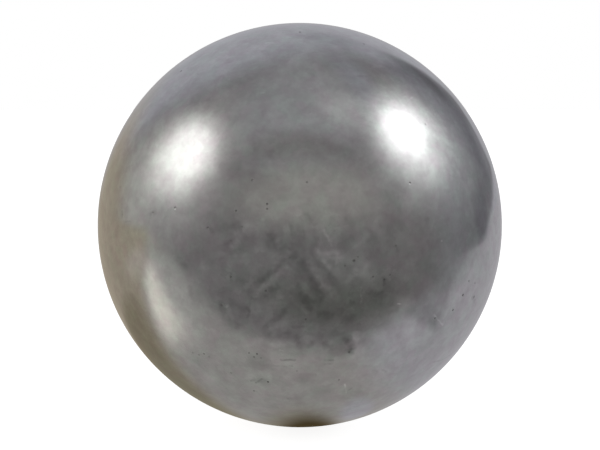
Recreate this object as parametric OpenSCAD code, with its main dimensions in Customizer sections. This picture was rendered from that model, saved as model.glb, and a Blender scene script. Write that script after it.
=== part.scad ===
// Solid steel ball, ground and polished all over.
// It is one piece with no flat, hole or seam, and its centre is the origin.

/* [Ball] */
// Diameter of the ball
ball_d = 25.4; // [3:0.1:100]

/* [Hidden] */
// Facets round the ball when it is drawn as a mesh
ball_facets = 160;
// Grey of polished steel in plain light
steel = [0.56, 0.56, 0.57];

// The whole ball: the same distance from its centre to every point of its surface
module ball() {
    color(steel) sphere(d = ball_d, $fn = ball_facets);
}

ball();
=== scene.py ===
# A polished steel ball on a pale studio floor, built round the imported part.
import math

import bmesh
import bpy
import numpy as np
from mathutils import Matrix, Vector, kdtree, noise


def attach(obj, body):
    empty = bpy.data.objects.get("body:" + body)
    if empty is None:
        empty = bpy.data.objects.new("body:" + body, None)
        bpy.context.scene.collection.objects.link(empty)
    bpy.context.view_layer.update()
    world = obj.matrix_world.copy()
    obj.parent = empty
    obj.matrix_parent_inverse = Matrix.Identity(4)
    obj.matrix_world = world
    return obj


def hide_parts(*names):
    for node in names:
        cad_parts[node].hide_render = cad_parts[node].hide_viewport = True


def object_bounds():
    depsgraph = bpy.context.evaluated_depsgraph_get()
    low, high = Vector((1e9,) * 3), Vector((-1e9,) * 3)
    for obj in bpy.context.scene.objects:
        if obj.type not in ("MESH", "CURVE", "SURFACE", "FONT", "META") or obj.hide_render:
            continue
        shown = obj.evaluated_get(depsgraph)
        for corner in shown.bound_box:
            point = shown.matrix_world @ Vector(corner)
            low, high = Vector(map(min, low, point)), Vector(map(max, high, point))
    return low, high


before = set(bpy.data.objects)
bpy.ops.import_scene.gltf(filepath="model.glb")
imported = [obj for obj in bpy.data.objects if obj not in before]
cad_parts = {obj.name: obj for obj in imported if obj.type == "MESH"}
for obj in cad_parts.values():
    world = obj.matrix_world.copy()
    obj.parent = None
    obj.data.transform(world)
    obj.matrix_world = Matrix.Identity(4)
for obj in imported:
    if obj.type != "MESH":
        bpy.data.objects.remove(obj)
cad_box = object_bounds()

# Lengths below are in metres unless the name or the comment says otherwise.
MM = 0.001
BALL_RADIUS = (cad_box[1].z - cad_box[0].z) / 2
# The visible surface lies this far inside the CAD ball, so that it stays inside the CAD box.
SURFACE_INSET = 0.005 * MM
SURFACE_RADIUS = BALL_RADIUS - SURFACE_INSET
FLOOR_Z = -BALL_RADIUS
SEED = 4603
# Blender's vector noise starts from the clock unless it is seeded.
noise.seed_set(SEED)

# The photograph's frame, and where the ball's outline lies in it, in pixels.
IMAGE_WIDTH = 600
IMAGE_HEIGHT = 450
OUTLINE_CENTRE = (299.8, 225.1)
OUTLINE_RADIUS = 202.3

# Camera: a long lens, a little above the ball's middle.
LENS_MM = 85.0
SENSOR_MM = 36.0
CAMERA_ELEVATION = math.radians(5.0)
NEAREST_SEEN = 0.001
FARTHEST_SEEN = 20.0
FOCAL_PX = LENS_MM / SENSOR_MM * IMAGE_WIDTH
CAMERA_DISTANCE = BALL_RADIUS / math.sin(math.atan(OUTLINE_RADIUS / FOCAL_PX))
TO_CAMERA = Vector((0, -math.cos(CAMERA_ELEVATION), math.sin(CAMERA_ELEVATION)))
CAMERA_UP = Vector((0, math.sin(CAMERA_ELEVATION), math.cos(CAMERA_ELEVATION)))
CAMERA_RIGHT = Vector((1, 0, 0))


def direction(azimuth, elevation):
    """Unit direction from the ball: azimuth 0 is towards the camera and 90 to its right, in degrees."""
    turn = math.radians(azimuth)
    rise = math.radians(elevation)
    return Vector((math.sin(turn) * math.cos(rise), -math.cos(turn) * math.cos(rise), math.sin(rise)))


def seen_at(px, py):
    """Unit direction from the ball's centre to the point of its surface at a pixel of the photograph."""
    ray = (
        CAMERA_RIGHT * (px - OUTLINE_CENTRE[0])
        + CAMERA_UP * (OUTLINE_CENTRE[1] - py)
        - TO_CAMERA * FOCAL_PX
    ).normalized()
    start = TO_CAMERA * CAMERA_DISTANCE
    # distance along the ray to its point nearest the ball's centre, then to where it first meets the ball
    nearest = -ray.dot(start)
    inside = max(nearest * nearest - (CAMERA_DISTANCE**2 - BALL_RADIUS**2), 0.0)
    distance = nearest - math.sqrt(inside)
    return (start + ray * distance).normalized()


# Node helpers

# Patches get ragged edges from noise this much finer than they are, which shifts them over this share of
# their size. They blend into each other by the last value, where 0 would leave a sharp line.
EDGE_FINENESS = 2.5
EDGE_DETAIL = 3.0
EDGE_SHIFT = 0.9
PATCH_BLEND = 0.35


class Nodes:
    """Adds nodes to a tree and joins them, so that a material reads as a list of steps."""

    def __init__(self, tree):
        self.tree = tree
        tree.nodes.clear()

    def add(self, kind, **settings):
        """A new node of this kind, with these settings."""
        node = self.tree.nodes.new(kind)
        for name, value in settings.items():
            setattr(node, name, value)
        return node

    def put(self, socket, value):
        """Joins value to the socket if it is another node's output, and otherwise sets it."""
        if isinstance(value, bpy.types.NodeSocket):
            self.tree.links.new(value, socket)
        elif isinstance(value, (int, float)):
            socket.default_value = value
        else:
            size = len(socket.default_value)
            socket.default_value = (tuple(value) + (1.0,))[:size]

    def math(self, operation, a, b=0.0):
        """The operation on one or two numbers."""
        node = self.add("ShaderNodeMath", operation=operation)
        self.put(node.inputs[0], a)
        self.put(node.inputs[1], b)
        return node.outputs[0]

    def vector(self, operation, a, b=(0.0, 0.0, 0.0)):
        """The operation on two vectors, or the length of one."""
        node = self.add("ShaderNodeVectorMath", operation=operation)
        self.put(node.inputs[0], a)
        self.put(node.inputs[1], b)
        return node.outputs["Value" if operation == "LENGTH" else "Vector"]

    def scale(self, vector, factor):
        """The vector or colour, times a number."""
        node = self.add("ShaderNodeVectorMath", operation="SCALE")
        self.put(node.inputs[0], vector)
        self.put(node.inputs["Scale"], factor)
        return node.outputs["Vector"]

    def ramp(self, value, low, high, to_low=0.0, to_high=1.0):
        """Goes smoothly from to_low at low to to_high at high."""
        node = self.add("ShaderNodeMapRange", interpolation_type="SMOOTHSTEP")
        self.put(node.inputs["Value"], value)
        self.put(node.inputs["From Min"], low)
        self.put(node.inputs["From Max"], high)
        self.put(node.inputs["To Min"], to_low)
        self.put(node.inputs["To Max"], to_high)
        return node.outputs["Result"]

    def mix(self, factor, a, b):
        """Colour a where factor is 0, and colour b where it is 1."""
        node = self.add("ShaderNodeMix", data_type="RGBA")
        # the node has its colours at inputs 6 and 7 and at output 2
        self.put(node.inputs[0], factor)
        self.put(node.inputs[6], a)
        self.put(node.inputs[7], b)
        return node.outputs[2]

    def noise(self, where, size, detail, roughness=0.55):
        """Noise whose features are about size metres across, from 0 to 1."""
        node = self.add("ShaderNodeTexNoise")
        self.put(node.inputs["Vector"], where)
        self.put(node.inputs["Scale"], 1.0 / size)
        self.put(node.inputs["Detail"], detail)
        self.put(node.inputs["Roughness"], roughness)
        return node.outputs["Fac"]

    def patches(self, where, size):
        """Patches about size metres across, each with a value of its own from 0 to 1, and ragged edges."""
        ragged = self.add("ShaderNodeTexNoise")
        self.put(ragged.inputs["Vector"], where)
        self.put(ragged.inputs["Scale"], EDGE_FINENESS / size)
        self.put(ragged.inputs["Detail"], EDGE_DETAIL)
        centred = self.vector("SUBTRACT", ragged.outputs["Color"], (0.5, 0.5, 0.5))
        shift = self.scale(centred, EDGE_SHIFT * size)
        cells = self.add("ShaderNodeTexVoronoi", feature="SMOOTH_F1")
        self.put(cells.inputs["Vector"], self.vector("ADD", where, shift))
        self.put(cells.inputs["Scale"], 1.0 / size)
        self.put(cells.inputs["Smoothness"], PATCH_BLEND)
        parts = self.add("ShaderNodeSeparateColor")
        self.put(parts.inputs["Color"], cells.outputs["Color"])
        return parts.outputs["Red"]


# What the ball reflects: the room as a world, and the sheet under the ball as a stage object

WHITE = (1.0, 1.0, 1.0)

# Areas of the room, from the first laid down to the last. Each has its colour as brightness, warmth (red
# minus blue) and purple, its direction from the ball, its half width and half height in degrees, and how
# much of it is soft.
ROOM_COLOUR = (0.21, 0.01, 0.006)
ROOM_AREAS = (
    ((0.225, -0.012, 0.002), (118, 0), (60, 60), 0.6),  # cooler at the right
    ((0.135, 0.01, 0.0), (20, -38), (70, 22), 0.75),  # dark under the bench's front edge
    ((0.365, -0.01, 0.002), (0, 68), (45, 58), 0.55),  # ceiling
    ((0.36, 0.03, 0.0), (5, 21), (65, 25), 0.65),  # wall behind the camera
    ((0.34, 0.01, 0.0), (66, 24), (32, 20), 0.90),  # the right end of that wall
    ((0.24, 0.01, 0.003), (-3, 49), (42, 11), 0.65),  # dark beam over it
    ((0.49, 0.00, 0.004), (52, 67), (16, 18), 0.75),  # bright part of the ceiling
    ((0.45, -0.04, 0.008), (-164, 38), (54, 48), 0.55),  # pale wall at the back
    ((0.33, -0.03, 0.008), (120, 66), (28, 10), 0.80),  # dim strip of ceiling at the right
    ((0.195, -0.02, 0.006), (141, 27), (23, 34), 0.65),  # dark corner at the back on the right
    ((0.145, -0.012, 0.004), (149, 26), (8, 7), 0.7),  # darkest part of that corner, high up
    ((0.26, -0.02, 0.006), (148, 9), (9, 8), 0.8),  # a little light in it, lower down
    ((0.17, -0.015, 0.004), (122, 0), (10, 10), 0.5),  # darkest part of that corner, low down
    ((0.49, -0.04, 0.008), (-168, 18), (34.5, 39), 0.12),  # panel on the back wall, with a plain edge
    ((0.42, -0.04, 0.008), (165, 43), (17, 12), 0.6),  # its upper end at the right
    ((0.46, -0.035, 0.008), (162, 7), (11, 6.5), 0.3),  # its lower end at the right
    ((0.47, 0.035, 0.0), (-108, 9), (28, 42), 0.80),  # glow under the left lamp
    ((0.44, -0.03, 0.010), (161, -14.5), (40, 19), 0.12),  # pale low wall beside the dark corner
    ((0.45, -0.02, 0.008), (180, 2), (26, 14), 0.15),  # pale low wall right behind the ball
    ((0.375, 0.13, 0.008), (-140, -3), (37, 31), 0.70),  # brown area at the back on the left
)
# Lamps are added on top, in the same terms.
LAMPS = (
    ((0.69, 0.02, 0.0), (-79, 34), (20, 16), 0.55),  # bright middle of the left lamp
    ((0.66, 0.035, 0.0), (-80.5, 31.5), (30, 26), 0.60),  # the whole of the left lamp
    ((0.33, 0.018, 0.0), (-76, 26), (43, 48), 0.95),  # its glow on the wall
    ((1.60, 0.00, 0.0), (85, 43.5), (20.5, 15), 1.00),  # bright middle of the right lamp
    ((1.50, 0.00, 0.0), (88, 39), (33, 27.5), 1.00),  # the whole of the right lamp
    ((0.21, -0.012, 0.0), (94, 33), (55, 39), 0.60),  # its glow on the wall
)
# An area's oval is this deep along its own direction, so that it never shows on the far side of the room.
OVAL_DEPTH = 2.0


def tinted(brightness, warmth, purple):
    """Grey of this brightness, with this much more red than blue, and its green lowered by purple.

    The mean of the three stays about the same.
    """
    red = brightness + 0.43 * warmth + 0.5 * purple
    green = brightness + 0.13 * warmth - purple
    blue = brightness - 0.57 * warmth + 0.5 * purple
    return (red, green, blue)


def build_world():
    """The room that the ball reflects. The camera itself sees plain white in its place."""
    world = bpy.data.worlds.new("studio")
    bpy.context.scene.world = world
    world.use_nodes = True
    n = Nodes(world.node_tree)
    towards = n.add("ShaderNodeTexCoord").outputs["Generated"]

    def oval(place, halves, softness):
        """1 in the middle of an oval area of the room, fading to 0 at its rim."""
        middle = direction(*place)
        east = direction(place[0] + 90, 0)
        turned = Matrix((east, middle.cross(east), middle)).transposed()
        half_width = math.sin(math.radians(halves[0]))
        half_height = math.sin(math.radians(halves[1]))
        local = n.add("ShaderNodeMapping", vector_type="TEXTURE")
        n.put(local.inputs["Vector"], towards)
        n.put(local.inputs["Location"], middle)
        n.put(local.inputs["Rotation"], turned.to_euler())
        n.put(local.inputs["Scale"], (half_width, half_height, OVAL_DEPTH))
        return n.ramp(n.vector("LENGTH", local.outputs[0]), 1.0, 1.0 - softness)

    colour = tinted(*ROOM_COLOUR)
    for area_colour, place, halves, softness in ROOM_AREAS:
        colour = n.mix(oval(place, halves, softness), colour, tinted(*area_colour))
    for lamp_colour, place, halves, softness in LAMPS:
        light = n.scale(tinted(*lamp_colour), oval(place, halves, softness))
        colour = n.vector("ADD", colour, light)
    room = n.add("ShaderNodeBackground")
    n.put(room.inputs["Color"], colour)
    plain = n.add("ShaderNodeBackground")
    n.put(plain.inputs["Color"], WHITE)
    choose = n.add("ShaderNodeMixShader")
    n.put(choose.inputs[0], n.add("ShaderNodeLightPath").outputs["Is Camera Ray"])
    n.put(choose.inputs[1], room.outputs[0])
    n.put(choose.inputs[2], plain.outputs[0])
    n.put(n.add("ShaderNodeOutputWorld").inputs["Surface"], choose.outputs[0])


def stage_piece(name, points, faces, z, look):
    """A flat piece of the stage at height z."""
    mesh = bpy.data.meshes.new(name)
    mesh.from_pydata([(x, y, z) for x, y in points], [], faces)
    mesh.materials.append(look)
    piece = bpy.data.objects.new(name, mesh)
    bpy.context.scene.collection.objects.link(piece)
    piece.visible_diffuse = False
    piece.visible_shadow = False
    return piece


def material(name):
    """A new material, and its nodes."""
    made = bpy.data.materials.new(name)
    made.use_nodes = True
    return made, Nodes(made.node_tree)


# The pale floor that the camera sees
FLOOR_HALF_SIZE = 3.0
FLOOR_GREY = (0.5, 0.5, 0.5)
FLOOR_GLOW = 0.9


def floor_material():
    """Pale, with a glow of its own that keeps it nearly white."""
    made, n = material("pale_floor")
    matt = n.add("ShaderNodeBsdfDiffuse")
    n.put(matt.inputs["Color"], FLOOR_GREY)
    glow = n.add("ShaderNodeEmission")
    n.put(glow.inputs["Color"], WHITE)
    n.put(glow.inputs["Strength"], FLOOR_GLOW)
    both = n.add("ShaderNodeAddShader")
    n.put(both.inputs[0], matt.outputs[0])
    n.put(both.inputs[1], glow.outputs[0])
    n.put(n.add("ShaderNodeOutputMaterial").inputs["Surface"], both.outputs[0])
    return made


def build_floor():
    """The floor, which the ball doesn't reflect: it reflects the bench sheet in its place."""
    half = FLOOR_HALF_SIZE
    corners = [(-half, -half), (half, -half), (half, half), (-half, half)]
    floor = stage_piece("floor", corners, [range(4)], FLOOR_Z, floor_material())
    floor.visible_glossy = False


# Near edge of the sheet under the ball, from left to right: place, then how wide the edge fades,
# in ball radii from where the ball touches it.
SHEET_EDGE = (
    (-40.0, 0.0, 4.0), (-14.0, -2.6, 3.0), (-6.2, -2.6, 1.8), (-4.2, -2.3, 1.2), (-3.0, -2.1, 0.9),
    (-2.0, -1.95, 0.8), (-1.6, -1.8, 0.8), (-1.1, -1.55, 0.5), (-0.7, -1.42, 0.45), (-0.1, -1.3, 0.3),
    (0.3, -1.25, 0.4), (1.1, -1.28, 0.4), (1.3, -1.28, 0.4), (1.5, -1.3, 0.5), (2.0, -1.3, 0.7),
    (2.5, -1.25, 1.3), (3.3, -1.2, 2.1), (4.0, -1.05, 2.3), (5.2, -0.4, 2.3), (6.2, 0.8, 1.4),
    (7.0, 2.8, 0.8), (8.0, 4.8, 0.6), (9.8, 7.0, 0.7), (12.2, 9.4, 1.0), (18.7, 15.0, 2.0),
    (36.0, 30.0, 5.0),
)
SHEET_FAR_EDGE = 60.0
# The sheet lies this far under the floor, so that the two don't meet.
SHEET_DROP = 0.02 * MM

# Colours that the sheet glows in, painted as it is lit, as brightness, warmth and purple, and where each
# fades in along x, in ball radii
SHEET_COLOUR = (0.37, 0.03, 0.004)
SHEET_RIGHT = (0.45, -0.015, 0.010)
SHEET_RIGHT_FADE = (0.3, 0.8)
SHEET_LEFT = (0.44, 0.03, 0.0)
SHEET_LEFT_FADE = (-0.7, -2.2)
SHEET_FAR_LEFT = (0.37, 0.05, 0.0)
SHEET_FAR_LEFT_FADE = (-4.0, -9.0)
# A dimmer strip along the near edge on the right: where it fades in, where it ends, and how far back it
# reaches
NEAR_RIGHT = (0.315, -0.01, 0.008)
NEAR_RIGHT_START = (1.26, 1.40)
NEAR_RIGHT_END = (3.4, 2.0)
NEAR_RIGHT_BACK = (-0.28, -0.44)
# Brown towards the back on the left. It fans out towards the back, so its side fades in by the slope of x
# over y, and its front by y.
BACK_BROWN = (0.355, 0.13, 0.010)
BACK_BROWN_SLOPE = (-0.1, -0.6)
BACK_BROWN_FRONT = (-0.38, 0.05)
# Oval patches of the sheet, from the first laid down to the last: colour, middle, half width and half
# depth in ball radii, and the shares of those halves at which the patch stops being full and is gone.
# The first two paint the shadow that the ball casts on the brown at its left.
BROWN_AND_SHADOW_PATCHES = (
    ((0.22, 0.10, 0.005), (-1.15, 0.55), (1.5, 1.05), 0.4, 1.05),  # brown behind the ball on the left, dark with the painted shadow of the ball
    ((0.215, 0.085, 0.0), (-0.55, 0.3), (1.0, 0.85), 0.35, 0.75),  # the part of it next to the ball, darkest with that painted shadow
    ((0.45, 0.11, 0.010), (-4.8, 0.3), (2.0, 1.0), 0.3, 1.2),  # pale brown further out
)
# The painted contact shadow under the ball, with its brown rim and a lighter patch beside it
CONTACT_SHADOW_PATCHES = (
    ((0.43, -0.015, 0.010), (0.32, -0.3), (0.12, 0.2), 0.5, 1.2),  # lighter patch beside the painted contact shadow
    ((0.22, 0.075, 0.004), (0.0, -0.12), (0.22, 0.40), 0.5, 1.25),  # brown rim of the painted contact shadow
    ((0.05, 0.05, 0.004), (0.04, -0.08), (0.15, 0.33), 0.5, 1.3),  # the painted contact shadow where the ball touches the sheet
)
# The left lamp's light on the sheet, a bright strip in a fainter one: colour, the strip's middle along y,
# and how far from it the light stops being full and is gone
LAMP_STRIPS = (
    ((0.58, 0.05, 0.0), -0.70, 0.05, 0.42),
    ((0.98, 0.15, 0.0), -0.52, 0.05, 0.37),
)
# Where both strips fade in along x and, further left, fade out
LAMP_STRIP_START = (-0.8, -1.65)
LAMP_STRIP_END = (-5.5, -1.7)


def sheet_material():
    """The sheet glows by itself in the colours that it is lit in."""
    made, n = material("bench_sheet")
    place = n.add("ShaderNodeTexCoord").outputs["Object"]
    radii = n.vector("MULTIPLY", place, (1 / BALL_RADIUS,) * 3)
    split = n.add("ShaderNodeSeparateXYZ")
    n.put(split.inputs[0], radii)
    x = split.outputs["X"]
    y = split.outputs["Y"]

    def with_patches(colour, patches):
        """The colour, with oval patches laid on it."""
        for patch_colour, middle, halves, full, gone in patches:
            offset = n.vector("SUBTRACT", radii, (middle[0], middle[1], FLOOR_Z / BALL_RADIUS))
            reach = n.vector("LENGTH", n.vector("DIVIDE", offset, (halves[0], halves[1], 1.0)))
            colour = n.mix(n.ramp(reach, gone, full), colour, tinted(*patch_colour))
        return colour

    colour = tinted(*SHEET_COLOUR)
    colour = n.mix(n.ramp(x, *SHEET_RIGHT_FADE), colour, tinted(*SHEET_RIGHT))
    near_right = n.math("MULTIPLY", n.ramp(x, *NEAR_RIGHT_START), n.ramp(x, *NEAR_RIGHT_END))
    near_right = n.math("MULTIPLY", near_right, n.ramp(y, *NEAR_RIGHT_BACK))
    colour = n.mix(near_right, colour, tinted(*NEAR_RIGHT))
    colour = n.mix(n.ramp(x, *SHEET_LEFT_FADE), colour, tinted(*SHEET_LEFT))
    colour = n.mix(n.ramp(x, *SHEET_FAR_LEFT_FADE), colour, tinted(*SHEET_FAR_LEFT))
    # up to one radius behind the ball's middle, the slope is x itself
    slope = n.math("DIVIDE", x, n.math("MAXIMUM", y, 1.0))
    back_brown = n.math("MULTIPLY", n.ramp(slope, *BACK_BROWN_SLOPE), n.ramp(y, *BACK_BROWN_FRONT))
    colour = n.mix(back_brown, colour, tinted(*BACK_BROWN))
    colour = with_patches(colour, BROWN_AND_SHADOW_PATCHES)
    along = n.math("MULTIPLY", n.ramp(x, *LAMP_STRIP_START), n.ramp(x, *LAMP_STRIP_END))
    for strip_colour, middle, full, gone in LAMP_STRIPS:
        away = n.math("ABSOLUTE", n.math("SUBTRACT", y, middle))
        colour = n.mix(n.math("MULTIPLY", along, n.ramp(away, gone, full)), colour, tinted(*strip_colour))
    colour = with_patches(colour, CONTACT_SHADOW_PATCHES)

    glow = n.add("ShaderNodeEmission")
    n.put(glow.inputs["Color"], colour)
    clear = n.add("ShaderNodeBsdfTransparent")
    edge = n.add("ShaderNodeMixShader")
    cover = n.add("ShaderNodeAttribute", attribute_name="cover").outputs["Fac"]
    n.put(edge.inputs[0], n.ramp(cover, 0.0, 1.0))
    n.put(edge.inputs[1], clear.outputs[0])
    n.put(edge.inputs[2], glow.outputs[0])
    n.put(n.add("ShaderNodeOutputMaterial").inputs["Surface"], edge.outputs[0])
    return made


def build_sheet():
    """The bench sheet that the ball reflects, from its near edge to far behind the ball."""
    rows = (
        [(x, y) for x, y, fade in SHEET_EDGE],
        [(x, y + fade) for x, y, fade in SHEET_EDGE],
        [(x, SHEET_FAR_EDGE) for x, y, fade in SHEET_EDGE],
    )
    points = [(x * BALL_RADIUS, y * BALL_RADIUS) for row in rows for x, y in row]
    count = len(SHEET_EDGE)
    faces = []
    for start in (0, count):
        for i in range(start, start + count - 1):
            faces.append((i, i + 1, i + 1 + count, i + count))
    sheet = stage_piece("bench_sheet", points, faces, FLOOR_Z - SHEET_DROP, sheet_material())
    sheet.visible_camera = False
    # the sheet is clear at its near edge, and covers all from the second row on
    cover = [0.0] * count + [1.0] * (2 * count)
    sheet.data.attributes.new("cover", "FLOAT", "POINT").data.foreach_set("value", cover)


# The ball

def refine(points, faces, chosen):
    """Splits the chosen triangles in four, and their neighbours so that no crack is left.

    All points stay on the unit sphere.
    """
    ends = np.sort(faces[:, [[0, 1], [1, 2], [2, 0]]].reshape(-1, 2), axis=1)
    edges, face_edges = np.unique(ends, axis=0, return_inverse=True)
    face_edges = face_edges.reshape(-1, 3)
    cut = np.zeros(len(edges), bool)
    cut[face_edges[chosen]] = True
    # a triangle with two edges cut has its third cut too
    while True:
        two = cut[face_edges].sum(1) == 2
        if not two.any():
            break
        cut[face_edges[two]] = True
    middles = points[edges[cut]].sum(1)
    middles /= np.linalg.norm(middles, axis=1, keepdims=True)
    number = np.full(len(edges), -1)
    number[cut] = len(points) + np.arange(cut.sum())
    face_middles = number[face_edges]
    count = (face_middles >= 0).sum(1)
    corners = faces[count == 3]
    inner = face_middles[count == 3]
    parts = [faces[count == 0], inner]
    for i in range(3):
        parts.append(np.stack([corners[:, i], inner[:, i], inner[:, i - 1]], 1))
        # a triangle with one edge cut is halved
        one = (count == 1) & (face_middles[:, i] >= 0)
        halved = faces[one]
        middle = face_middles[one, i]
        parts.append(np.stack([halved[:, i], middle, halved[:, i - 1]], 1))
        parts.append(np.stack([middle, halved[:, (i + 1) % 3], halved[:, i - 1]], 1))
    return np.concatenate([points, middles]), np.concatenate(parts)


# The marks below lie where the photograph shows them. Places are its pixels, and half widths are in
# pixels too, as they look in the middle of the ball. Lightness is above 0 for marks lighter than the
# steel and below 0 for darker ones: 1 makes the steel LIGHTNESS_STEP times as light.
PIXEL = (CAMERA_DISTANCE - BALL_RADIUS) / FOCAL_PX / BALL_RADIUS
LIGHTNESS_STEP = 1.5

# Pits: pixel, radius in pixels, and how dark they are inside, from 0 to 1
SEEN_PITS = (
    (354, 261, 2.1, 0.5), (384, 280, 1.6, 0.4), (463, 295, 1.9, 0.8), (453, 310, 1.7, 0.7),
    (435, 318, 1.9, 0.6), (222, 305, 1.9, 0.3), (231, 277, 1.6, 0.5), (345, 266, 1.4, 0.3),
    (390, 275, 1.4, 0.4), (396, 246, 1.6, 0.4), (358, 257, 1.1, 0.4), (306, 319, 1.5, 0.5),
    (242, 227, 1.4, 0.4), (208, 228, 1.5, 0.4), (267, 204, 1.5, 0.6), (236, 211, 1.5, 0.6),
    (252, 180, 1.5, 0.5), (307, 182, 1.5, 0.4), (175, 208, 1.8, 0.4), (153, 213, 1.6, 0.3),
    (122, 215, 1.6, 0.4), (120, 187, 1.4, 0.3), (181, 71, 1.7, 0.9), (300, 32, 1.8, 0.9),
    (364, 44, 1.6, 0.7), (410, 183, 1.5, 0.5), (267, 209, 1.4, 0.5), (426, 124, 1.5, 0.3),
    (474, 297, 2.4, 0.5), (469, 281, 1.3, 0.8), (475, 283, 1.3, 0.7), (193, 353, 1.1, 0.6),
    (199, 355, 1.2, 0.6), (204, 354, 1.3, 0.8), (209, 357, 1.1, 0.5), (198, 361, 1.0, 0.4),
    (249, 353, 1.2, 0.6), (254, 357, 1.3, 0.6), (257, 354, 1.3, 0.8), (261, 358, 1.1, 0.5),
    (251, 381, 1.1, 0.4), (256, 383, 1.3, 0.4), (268, 382, 1.6, 0.9), (254, 391, 1.4, 0.7),
    (231, 373, 1.3, 0.5), (339, 380, 1.4, 0.6), (288, 399, 1.2, 0.4), (349, 352, 1.5, 0.5),
    (297, 371, 1.2, 0.4), (316, 375, 1.1, 0.3), (373, 277, 1.2, 0.6), (231, 241, 1.3, 0.4),
    (290, 258, 1.4, 0.2), (266, 291, 1.8, 0.5),
)
# Pits in all. The rest lie on the hidden half and just inside the rim: least radius in pixels and how
# much more it may be, and the same for how dark they are.
PIT_COUNT = 270
HIDDEN_PIT_RADIUS = (0.9, 1.0)
HIDDEN_PIT_DARKNESS = (0.2, 0.5)
# Depth of a black pit as a share of its radius, and how deep the palest is beside it
PIT_DEPTH = 0.16
PALE_PIT_DEPTH = 0.4
# The dark of a pit comes in over this share of its radius, from its rim inwards.
PIT_DARK_FADE = 0.625
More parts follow.
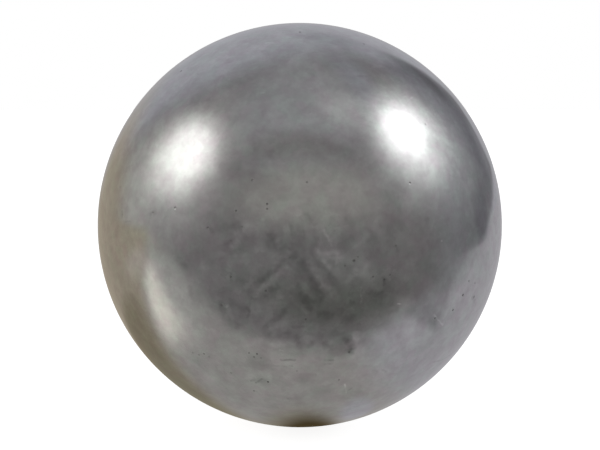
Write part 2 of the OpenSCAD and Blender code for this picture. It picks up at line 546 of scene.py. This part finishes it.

# The smudged print low on the front, and the spots round it, whose lighter marks are painted sheen of the
# light that the smudge catches: half width, lightness, and the line's corners
PRINT_MARKS = (
    # left wing: ridges and furrows, from the top outwards
    (4.6, -0.42, ((296, 255), (288, 258), (280, 264), (272, 271), (266, 277))),
    (5.2, -0.55, ((262, 280), (257, 284))),
    (7.5, 0.38, ((290, 266), (293, 270))),
    (4.2, 0.40, ((285, 268), (277, 275), (270, 282), (262, 289), (254, 295))),
    (5.2, -0.55, ((277, 287), (270, 291), (264, 294))),
    (6.5, -0.40, ((240, 280), (246, 289), (251, 297))),
    (11.0, 0.30, ((257, 310), (268, 308))),
    (5.0, 0.35, ((273, 303), (281, 297))),
    (4.4, -0.48, ((286, 307), (282, 316), (275, 321), (268, 325), (263, 330), (268, 335))),
    (5.0, -0.50, ((281, 335), (288, 333))),
    (5.5, 0.32, ((272, 328), (278, 324), (285, 323))),
    (3.0, -0.50, ((249, 304), (248, 316))),
    # dark blots left of it
    (2.8, -0.55, ((231, 274), (231, 280))),
    (5.6, -0.55, ((221, 304), (223, 311))),
    (2.6, 0.80, ((226, 306), (228, 306))),
    (6.0, -0.35, ((232, 303), (244, 308))),
    (6.0, -0.35, ((226, 318), (238, 327))),
    (3.4, -0.30, ((224, 244), (230, 241))),
    (4.4, -0.30, ((240, 243), (241, 248))),
    (2.2, 0.35, ((232, 246), (233, 248))),
    (5.0, -0.35, ((214, 231), (224, 228), (237, 226))),
    (2.2, -0.30, ((207, 228), (212, 228))),
    (2.0, -0.35, ((241, 226), (241, 231))),
    (7.0, -0.30, ((176, 253), (182, 264))),
    (4.0, -0.35, ((181, 264), (186, 267))),
    (3.6, -0.30, ((190, 288), (191, 295))),
    (3.0, -0.35, ((150, 214), (155, 212))),
    # right wing
    (5.0, -0.42, ((303, 262), (308, 272), (312, 280))),
    (5.4, -0.45, ((312, 280), (317, 289), (322, 298))),
    (5.4, 0.52, ((309, 264), (315, 272), (320, 279))),
    (4.2, -0.45, ((314, 254), (320, 264), (327, 271), (332, 279))),
    (5.0, -0.35, ((330, 276), (336, 283))),
    (5.5, 0.58, ((316, 251), (323, 260), (328, 266))),
    (9.0, 0.85, ((331, 253), (337, 256))),
    (6.0, 0.58, ((323, 285), (330, 290), (336, 296))),
    (4.4, -0.52, ((299, 285), (300, 294), (304, 302), (311, 309))),
    (5.8, -0.38, ((307, 299), (319, 303))),
    (4.4, 0.35, ((303, 286), (309, 292), (314, 298))),
    (4.0, 0.30, ((292, 297), (299, 305), (306, 312))),
    (6.5, -0.70, ((322, 314), (329, 315))),
    # above it
    (4.8, -0.40, ((315, 231), (317, 240), (313, 250))),
    (2.6, 0.50, ((323, 231), (329, 238), (332, 245))),
    (10.5, -0.55, ((272, 241), (279, 246))),
    (6.0, -0.35, ((284, 250), (291, 246))),
    (4.0, -0.30, ((268, 234), (274, 236))),
    (5.2, -0.50, ((307, 216), (309, 220))),
    (3.0, -0.40, ((291, 226), (292, 234))),
    (1.4, -0.35, ((304, 230), (304, 238))),
    (6.0, -0.40, ((348, 219), (352, 223))),
    (4.5, -0.15, ((327, 209), (344, 211))),
    (8.0, -0.22, ((332, 147), (350, 154))),
    (5.0, -0.22, ((321, 65), (323, 70))),
    # dark streaks and spots right of it, and the light between them
    (9.0, 0.26, ((361, 268), (370, 278))),
    (7.5, -0.26, ((365, 297), (382, 294))),
    (3.4, -0.30, ((376, 291), (385, 295))),
    (6.0, -0.22, ((367, 304), (382, 304))),
    (6.0, -0.20, ((345, 313), (372, 313))),
    (4.6, -0.28, ((384, 279), (387, 287))),
    (2.8, -0.40, ((384, 277), (384, 284))),
    (12.0, 0.14, ((400, 325), (410, 329))),
    (4.0, -0.14, ((392, 311), (402, 308), (412, 311), (420, 318), (425, 326))),
    (2.4, 0.18, ((444, 318), (448, 309), (453, 300))),
    (3.6, -0.40, ((351, 302), (353, 304))),
    (1.2, 0.45, ((361, 287), (361, 303))),
    (2.4, -0.35, ((394, 244), (397, 250))),
    (2.4, -0.30, ((424, 218), (430, 218))),
    (5.0, -0.25, ((430, 320), (436, 330))),
    (3.6, -0.40, ((473, 297), (474, 301))),
    # below it
    (2.6, -0.55, ((294, 327), (303, 327))),
    (8.0, 0.30, ((308, 328), (317, 327))),
    (5.0, -0.45, ((298, 336), (300, 346))),
    (3.5, -0.25, ((308, 346), (312, 343))),
    (5.5, -0.30, ((321, 336), (325, 347))),
    (5.5, 0.35, ((332, 343), (336, 345))),
    (4.5, 0.25, ((306, 341), (309, 337))),
    (6.0, 0.22, ((246, 344), (262, 341))),
    (6.0, 0.22, ((270, 344), (288, 343))),
    (6.0, -0.30, ((264, 363), (270, 366))),
    (8.0, -0.28, ((302, 378), (308, 377))),
    (9.0, -0.18, ((318, 391), (324, 390))),
    (5.0, -0.35, ((286, 398), (290, 399))),
    (4.0, -0.30, ((269, 398), (271, 397))),
    (4.5, -0.25, ((270, 404), (273, 405))),
    (4.5, -0.32, ((250, 381), (264, 380))),
    (4.0, -0.28, ((366, 376), (370, 375))),
    (3.4, -0.30, ((374, 368), (376, 373))),
    # the hook at its lower right, and the light spot in it
    (6.5, -0.55, ((332, 334), (340, 336), (347, 339))),
    (6.5, -0.85, ((348, 340), (351, 349))),
    (4.5, -0.85, ((349, 351), (352, 352))),
    (8.0, -0.16, ((347, 320), (351, 331))),
    (5.0, 0.60, ((355, 334), (356, 339))),
    (5.0, -0.20, ((364, 342), (368, 348))),
)
# Small marks: specks, fibres, dashes and fine scratches, and two painted glints of a pit, in the same form
FINE_MARKS = (
    (2.0, -0.90, ((281, 360), (295, 360))),
    (2.2, -0.35, ((274, 366), (292, 366))),
    (2.2, -0.70, ((325, 360), (333, 360))),
    (1.6, -0.60, ((325, 364), (330, 364))),
    (1.8, -0.60, ((257, 382), (262, 379))),
    (2.4, -0.45, ((254, 391), (256, 391))),
    (3.0, -0.30, ((227, 389), (228, 391))),
    (3.0, -0.25, ((329, 385), (332, 384))),
    (1.8, -0.45, ((348, 391), (352, 388))),
    (2.4, -0.30, ((382, 370), (386, 372))),
    (2.2, -0.35, ((356, 76), (366, 76))),
    (1.6, 0.70, ((229, 79), (229, 79))),
    (1.8, 0.60, ((373, 67), (374, 67))),
    (1.5, 0.60, ((405, 97), (406, 97))),
    (1.5, 0.60, ((410, 99), (412, 97))),
    (1.6, 0.90, ((442, 241), (442, 241))),
    (1.5, 1.10, ((398, 304), (400, 304))),
    # the next two are painted glints of the pit beside them
    (1.7, 0.90, ((345, 384), (345, 387))),
    (1.1, 0.50, ((345, 388), (347, 393))),
    (1.3, 0.50, ((266, 43), (278, 43))),
    (1.6, 0.50, ((306, 36), (307, 36))),
    (1.2, 0.50, ((459, 159), (459, 161))),
    (0.9, 0.35, ((459, 170), (459, 190))),
    (1.6, 0.50, ((280, 350), (283, 351))),
    (1.4, 0.30, ((261, 93), (264, 93))),
    (1.8, 0.60, ((434, 315), (439, 321), (443, 325))),
    (2.2, -0.45, ((434, 362), (442, 360), (450, 355))),
    (1.8, -0.40, ((122, 211), (122, 217))),
    (1.6, -0.35, ((125, 222), (130, 221))),
)
# Broad clouds of the same smudge, with soft edges, the lighter ones painted sheen of the light it catches:
# half width, lightness and pixel
SMUDGE_AND_SHEEN_CLOUDS = (
    (12, 0.45, (250, 228)), (14, 0.50, (238, 237)), (14, 0.50, (376, 227)), (13, 0.50, (360, 238)),
    (16, 0.50, (363, 270)), (14, 0.35, (348, 281)), (20, -0.35, (297, 240)), (22, -0.10, (275, 350)),
    (18, -0.60, (336, 348)), (18, 0.35, (378, 335)), (16, 0.35, (393, 316)), (18, 0.70, (404, 305)),
    (16, 0.25, (411, 332)), (12, -0.15, (433, 320)), (15, -0.15, (447, 286)),
    (12, -0.40, (262, 380)), (16, -0.30, (303, 378)), (18, -0.30, (353, 396)), (26, -0.25, (230, 300)),
    (30, -0.20, (375, 300)), (12, -0.30, (350, 318)), (13, 0.30, (236, 262)), (14, 0.30, (205, 270)),
    (18, 0.30, (184, 190)), (18, 0.15, (238, 204)), (16, -0.40, (402, 250)), (20, -0.45, (426, 262)),
    (14, 0.60, (381, 64)), (24, 0.45, (255, 55)), (14, 0.45, (213, 170)), (18, -0.45, (140, 160)),
    (24, -0.45, (394, 192)), (22, -0.20, (260, 128)), (16, 0.25, (360, 238)), (20, -0.38, (258, 364)),
    (20, -0.50, (437, 148)), (24, -0.45, (300, 264)), (20, 0.12, (240, 230)), (20, 0.35, (362, 55)),
    (18, 0.25, (292, 60)), (14, 0.30, (213, 376)), (14, -0.30, (300, 352)),
)
# Round the middle of the print the steel is mottled: its half width and half height in pixels, and, as
# shares of them, where the mottling ends and over how much it fades.
PRINT_MIDDLE = (307, 286)
PRINT_HALF_WIDTH = 105
PRINT_HALF_HEIGHT = 78
PRINT_END = 1.2
PRINT_FADE = 0.5

# Noise bends the marks and makes their edges uneven: size of its features and its reach, in pixels
PRINT_BENDS = ((6.0, 1.7), (2.5, 1.0))
FINE_BENDS = ((5.0, 1.0),)
CLOUD_BENDS = ((14.0, 7.0), (6.0, 3.0))
# Marks are uneven in strength too: the noise's size in pixels, then their mean strength and its unevenness
UNEVEN_SIZE = 5.0
PRINT_STRENGTH = (0.9, 0.8)
FINE_STRENGTH = (0.8, 0.8)
# The print's marks are drawn this much wider than their rows say. A mark is soft over this share of its
# half width, and a cloud over all of it.
PRINT_WIDENING = 1.2
MARK_SOFTNESS = 0.9
CLOUD_SOFTNESS = 1.0
# A point lies on the front where its direction from the centre has more than this share towards the camera.
FRONT_SHARE = 0.2
# Added to a line's squared length, so that a line of one corner doesn't divide by nothing
TINY = 1e-12


def all_pits(rng):
    """All pits: direction, radius on the unit sphere, and how dark they are inside."""
    found = [(seen_at(x, y), radius * PIXEL, darkness) for x, y, radius, darkness in SEEN_PITS]
    least_radius, more_radius = HIDDEN_PIT_RADIUS
    least_darkness, more_darkness = HIDDEN_PIT_DARKNESS
    while len(found) < PIT_COUNT:
        where = Vector(rng.normal(size=3)).normalized()
        radius = (least_radius + more_radius * rng.random() ** 2) * PIXEL
        darkness = least_darkness + more_darkness * rng.random() ** 2
        if where.dot(TO_CAMERA) < FRONT_SHARE:
            found.append((where, radius, darkness))
    return found


def smooth_step(x):
    """0 up to x = 0 and 1 from x = 1, with a smooth rise between."""
    x = np.clip(x, 0.0, 1.0)
    return x * x * (3 - 2 * x)


def on_line(points, corners, half_width, softness):
    """1 inside a mark drawn along a line on the unit sphere, and 0 outside it.

    This share of its half width is soft.
    """
    nearest = np.full(len(points), np.inf)
    ends = [np.array(seen_at(x, y)) for x, y in corners]
    # a line of one corner is a round spot
    for a, b in zip(ends, ends[1:] or ends):
        along = b - a
        share = np.clip((points - a) @ along / (along @ along + TINY), 0.0, 1.0)
        offset = points - a - share[:, None] * along
        nearest = np.minimum(nearest, np.linalg.norm(offset, axis=1))
    return smooth_step((1.0 - nearest / (half_width * PIXEL)) / softness)


def bent(points, bends):
    """The points of the unit sphere, each moved by noise of these sizes and reaches."""
    moved = points
    for size, reach in bends:
        shift = np.array([noise.noise_vector(Vector(p) / (size * PIXEL)) for p in points])
        moved = moved + reach * PIXEL * shift
    return moved


def smudges_and_sheen(points):
    """How much lighter or darker the marks make the steel at each point of the unit sphere; the lighter
    marks are partly painted sheen.
    """
    front = np.flatnonzero(points @ np.array(TO_CAMERA) > FRONT_SHARE)
    here = points[front]
    unevenness = np.array([noise.noise(Vector(p) / (UNEVEN_SIZE * PIXEL)) for p in here])
    print_strength = PRINT_STRENGTH[0] + PRINT_STRENGTH[1] * unevenness
    fine_strength = FINE_STRENGTH[0] + FINE_STRENGTH[1] * unevenness

    total = np.zeros(len(front))
    print_points = bent(here, PRINT_BENDS)
    for half_width, lightness, corners in PRINT_MARKS:
        total += lightness * on_line(print_points, corners, half_width * PRINT_WIDENING, MARK_SOFTNESS)
    total *= print_strength
    fine_points = bent(here, FINE_BENDS)
    for half_width, lightness, corners in FINE_MARKS:
        total += lightness * on_line(fine_points, corners, half_width, MARK_SOFTNESS) * fine_strength
    cloud_points = bent(here, CLOUD_BENDS)
    for half_width, lightness, place in SMUDGE_AND_SHEEN_CLOUDS:
        total += lightness * on_line(cloud_points, (place,), half_width, CLOUD_SOFTNESS)
    marks = np.zeros(len(points))
    marks[front] = total
    return marks


def handled(points):
    """1 where the print has left the steel mottled, fading to 0 round it."""
    middle = np.array(seen_at(*PRINT_MIDDLE))
    right = np.array(CAMERA_RIGHT)
    up = np.cross(middle, right)
    offset = points - middle
    x = offset @ right / (PRINT_HALF_WIDTH * PIXEL)
    y = offset @ up / (PRINT_HALF_HEIGHT * PIXEL)
    return smooth_step((PRINT_END - np.hypot(x, y)) / PRINT_FADE) * (points @ middle > 0.0)


# How fine the mesh gets, from the first step to the last: each step halves the faces within so many
# pixels of the middle of the print, and near each fine spot, within so many of its radii and pixels.
MESH_STEPS = (
    (165, 3.0, 6.0),
    (130, 2.4, 2.5),
    (92, 1.9, 1.2),
    (0, 1.5, 0.5),
)
# Subdivisions of the icosphere that the mesh starts from
FIRST_STEPS = 6


def refine_near(points, faces, places):
    """Splits the faces round the fine spots and those of the print, step by step."""
    tree = kdtree.KDTree(len(places))
    for i, (where, radius) in enumerate(places):
        tree.insert(where, i)
    tree.balance()
    print_middle = np.array(seen_at(*PRINT_MIDDLE))
    for print_reach, radii, margin in MESH_STEPS:
        middles = points[faces].mean(1)
        chosen = np.linalg.norm(middles - print_middle, axis=1) < print_reach * PIXEL
        for i, middle in enumerate(middles):
            _, spot, distance = tree.find(middle)
            chosen[i] |= distance < places[spot][1] * radii + margin * PIXEL
        points, faces = refine(points, faces, chosen)
    return points, faces


def along_marks():
    """Points along the fine marks, with the radius that each needs."""
    found = []
    for half_width, lightness, corners in FINE_MARKS:
        for (x0, y0), (x1, y1) in zip(corners, corners[1:]):
            count = 1 + int(math.hypot(x1 - x0, y1 - y0) / half_width)
            for i in range(count + 1):
                share = i / count
                place = seen_at(x0 + (x1 - x0) * share, y0 + (y1 - y0) * share)
                found.append((place, half_width * PIXEL))
    return found


def cut_pits(points, pits):
    """The height and normal of each point of the unit sphere once the pits are cut, and how dark it is."""
    height = np.zeros(len(points))
    slope = np.zeros((len(points), 3))
    dark = np.zeros(len(points))
    for where, radius, darkness in pits:
        depth = PIT_DEPTH * radius * (PALE_PIT_DEPTH + (1 - PALE_PIT_DEPTH) * darkness)
        offset = points - np.array(where)
        near = np.flatnonzero((offset * offset).sum(1) < radius * radius)
        offset = offset[near]
        # a shallow bowl that meets the sphere smoothly at its rim, and the slope that belongs to it
        rho = np.linalg.norm(offset, axis=1) / radius
        height[near] -= depth * (1 - rho**2) ** 2
        slope[near] += (4 * depth / radius * (1 - rho**2))[:, None] * offset / radius
        dark[near] = np.maximum(dark[near], darkness * smooth_step((1 - rho) / PIT_DARK_FADE))
    normals = points - slope
    normals /= np.linalg.norm(normals, axis=1, keepdims=True)
    return height, normals, dark


def ball_mesh():
    """The ball as a fine triangle mesh, with each point's normal and marks."""
    bm = bmesh.new()
    bmesh.ops.create_icosphere(bm, subdivisions=FIRST_STEPS, radius=1.0)
    points = np.array([v.co for v in bm.verts], float)
    faces = np.array([[v.index for v in f.verts] for f in bm.faces])
    bm.free()
    points /= np.linalg.norm(points, axis=1, keepdims=True)
    pits = all_pits(np.random.default_rng(SEED))
    fine_spots = [(where, radius) for where, radius, darkness in pits] + along_marks()
    points, faces = refine_near(points, faces, fine_spots)
    height, normals, dark = cut_pits(points, pits)
    marks = {"pit": dark, "smudge_and_sheen": smudges_and_sheen(points), "handled": handled(points)}
    return points * (1 + height)[:, None] * SURFACE_RADIUS, faces, normals, marks


def build_ball():
    """The ball, which stands for the CAD one."""
    points, faces, normals, marks = ball_mesh()
    mesh = bpy.data.meshes.new("steel_ball")
    mesh.from_pydata(points.tolist(), [], faces.tolist())
    mesh.polygons.foreach_set("use_smooth", [True] * len(faces))
    for name, values in marks.items():
        mesh.attributes.new(name, "FLOAT", "POINT").data.foreach_set("value", values.astype(np.float32))
    mesh.normals_split_custom_set_from_vertices(normals.tolist())
    ball = bpy.data.objects.new("steel_ball", mesh)
    bpy.context.scene.collection.objects.link(ball)
    ball.data.materials.append(steel_material())
    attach(ball, "root")
    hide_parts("ball")


# Noise in the steel's lightness: size, detail and roughness of the noise, the part of its range that
# counts, and how much lighter or darker it makes the steel
FINE_GRAIN = (0.35 * MM, 4.0, 0.6, (0.25, 0.75), 0.10)
CLOUDS = (0.9 * MM, 4.0, 0.55, (0.25, 0.75), 0.17)
BROAD_CLOUDS = (3.2 * MM, 3.0, 0.55, (0.3, 0.7), 0.10)
# Patches with edges, as wiped oil dries: size, and how strong they are on clean and on handled steel
SMALL_PATCHES = (0.55 * MM, 0.16, 0.30)
LARGE_PATCHES = (1.3 * MM, 0.14, 0.22)
# The oil film turns the steel a little purple here and a little green there, in patches and noise of
# these sizes, and greener by this much where it has been handled.
FILM_PATCH = 0.7 * MM
FILM_NOISE = 0.9 * MM
FILM_DETAIL = 5.0
FILM_HANDLED = 0.18
PURPLE_STEEL = (0.576, 0.547, 0.566)
GREEN_STEEL = (0.536, 0.574, 0.550)
PIT_COLOUR = (0.07, 0.065, 0.06)
# Roughness from the best polished to the dullest places, and what handling and pits add to it
ROUGHNESS = (0.14, 0.19)
ROUGHNESS_SIZE = 1.6 * MM
ROUGHNESS_DETAIL = 5.0
HANDLED_ROUGHNESS = 0.01
PIT_ROUGHNESS = 0.3
# Polished metal mirrors more sharply where it is seen at a low angle: the facings between which its
# roughness falls, and the share of it that is left
LOW_ANGLE = (0.4, 0.8)
LOW_ANGLE_SHARE = 0.6
# The middle part of a noise's range, which holds nearly all of its values
MIDDLE_PART = (0.3, 0.7)


def steel_material():
    """Polished steel: cloudy and patchy with old oil and handling, and dark in its pits."""
    made, n = material("polished_steel")
    place = n.add("ShaderNodeTexCoord").outputs["Object"]
    smudge_and_sheen = n.add("ShaderNodeAttribute", attribute_name="smudge_and_sheen").outputs["Fac"]
    handled_here = n.add("ShaderNodeAttribute", attribute_name="handled").outputs["Fac"]
    pit = n.add("ShaderNodeAttribute", attribute_name="pit").outputs["Fac"]

    def cloudy(size, detail, roughness, part, strength):
        """Noise from -strength to strength."""
        return n.ramp(n.noise(place, size, detail, roughness), *part, -strength, strength)

    def patchy(size, clean, where_handled):
        """Patches with edges, stronger where the ball has been handled."""
        patch = n.ramp(n.patches(place, size), 0.0, 1.0, -0.5, 0.5)
        return n.math("MULTIPLY", patch, n.ramp(handled_here, 0.0, 1.0, clean, where_handled))

    grain = n.math("ADD", cloudy(*FINE_GRAIN), cloudy(*CLOUDS))
    patches = n.math("ADD", patchy(*SMALL_PATCHES), patchy(*LARGE_PATCHES))
    lightness = n.math("ADD", grain, n.math("ADD", cloudy(*BROAD_CLOUDS), patches))
    # the smudge marks darken the steel, or lighten it with painted sheen
    lightness = n.math("POWER", LIGHTNESS_STEP, n.math("ADD", lightness, smudge_and_sheen))

    film_patch = n.math("MULTIPLY", n.patches(place, FILM_PATCH), 0.5)
    film_noise = n.ramp(n.noise(place, FILM_NOISE, FILM_DETAIL), *MIDDLE_PART)
    film = n.math("ADD", film_patch, n.math("MULTIPLY", film_noise, 0.5))
    film = n.math("ADD", film, n.math("MULTIPLY", handled_here, FILM_HANDLED))
    colour = n.scale(n.mix(film, PURPLE_STEEL, GREEN_STEEL), lightness)
    colour = n.mix(pit, colour, PIT_COLOUR)

    roughness = n.ramp(n.noise(place, ROUGHNESS_SIZE, ROUGHNESS_DETAIL), *MIDDLE_PART, *ROUGHNESS)
    roughness = n.math("ADD", roughness, n.math("MULTIPLY", handled_here, HANDLED_ROUGHNESS))
    roughness = n.math("ADD", roughness, n.math("MULTIPLY", pit, PIT_ROUGHNESS))
    facing = n.add("ShaderNodeLayerWeight").outputs["Facing"]
    roughness = n.math("MULTIPLY", roughness, n.ramp(facing, *LOW_ANGLE, 1.0, LOW_ANGLE_SHARE))

    shader = n.add("ShaderNodeBsdfPrincipled")
    n.put(shader.inputs["Base Color"], colour)
    n.put(shader.inputs["Metallic"], 1.0)
    n.put(shader.inputs["Roughness"], roughness)
    n.put(n.add("ShaderNodeOutputMaterial").inputs["Surface"], shader.outputs[0])
    return made


def build_camera():
    """The camera, shifted so that the ball's outline falls where the photograph has it."""
    data = bpy.data.cameras.new("camera")
    data.lens = LENS_MM
    data.sensor_width = SENSOR_MM
    data.shift_x = (IMAGE_WIDTH / 2 - OUTLINE_CENTRE[0]) / IMAGE_WIDTH
    data.shift_y = (OUTLINE_CENTRE[1] - IMAGE_HEIGHT / 2) / IMAGE_WIDTH
    data.clip_start = NEAREST_SEEN
    data.clip_end = FARTHEST_SEEN
    camera = bpy.data.objects.new("camera", data)
    camera.location = TO_CAMERA * CAMERA_DISTANCE
    camera.rotation_mode = "QUATERNION"
    camera.rotation_quaternion = (-TO_CAMERA).to_track_quat("-Z", "Y")
    bpy.context.scene.collection.objects.link(camera)
    bpy.context.scene.camera = camera


def set_colours():
    """Colours are shown as they are, with no film look."""
    view = bpy.context.scene.view_settings
    view.view_transform = "Standard"
    view.look = "None"


build_camera()
set_colours()
build_world()
build_floor()
build_sheet()
build_ball()
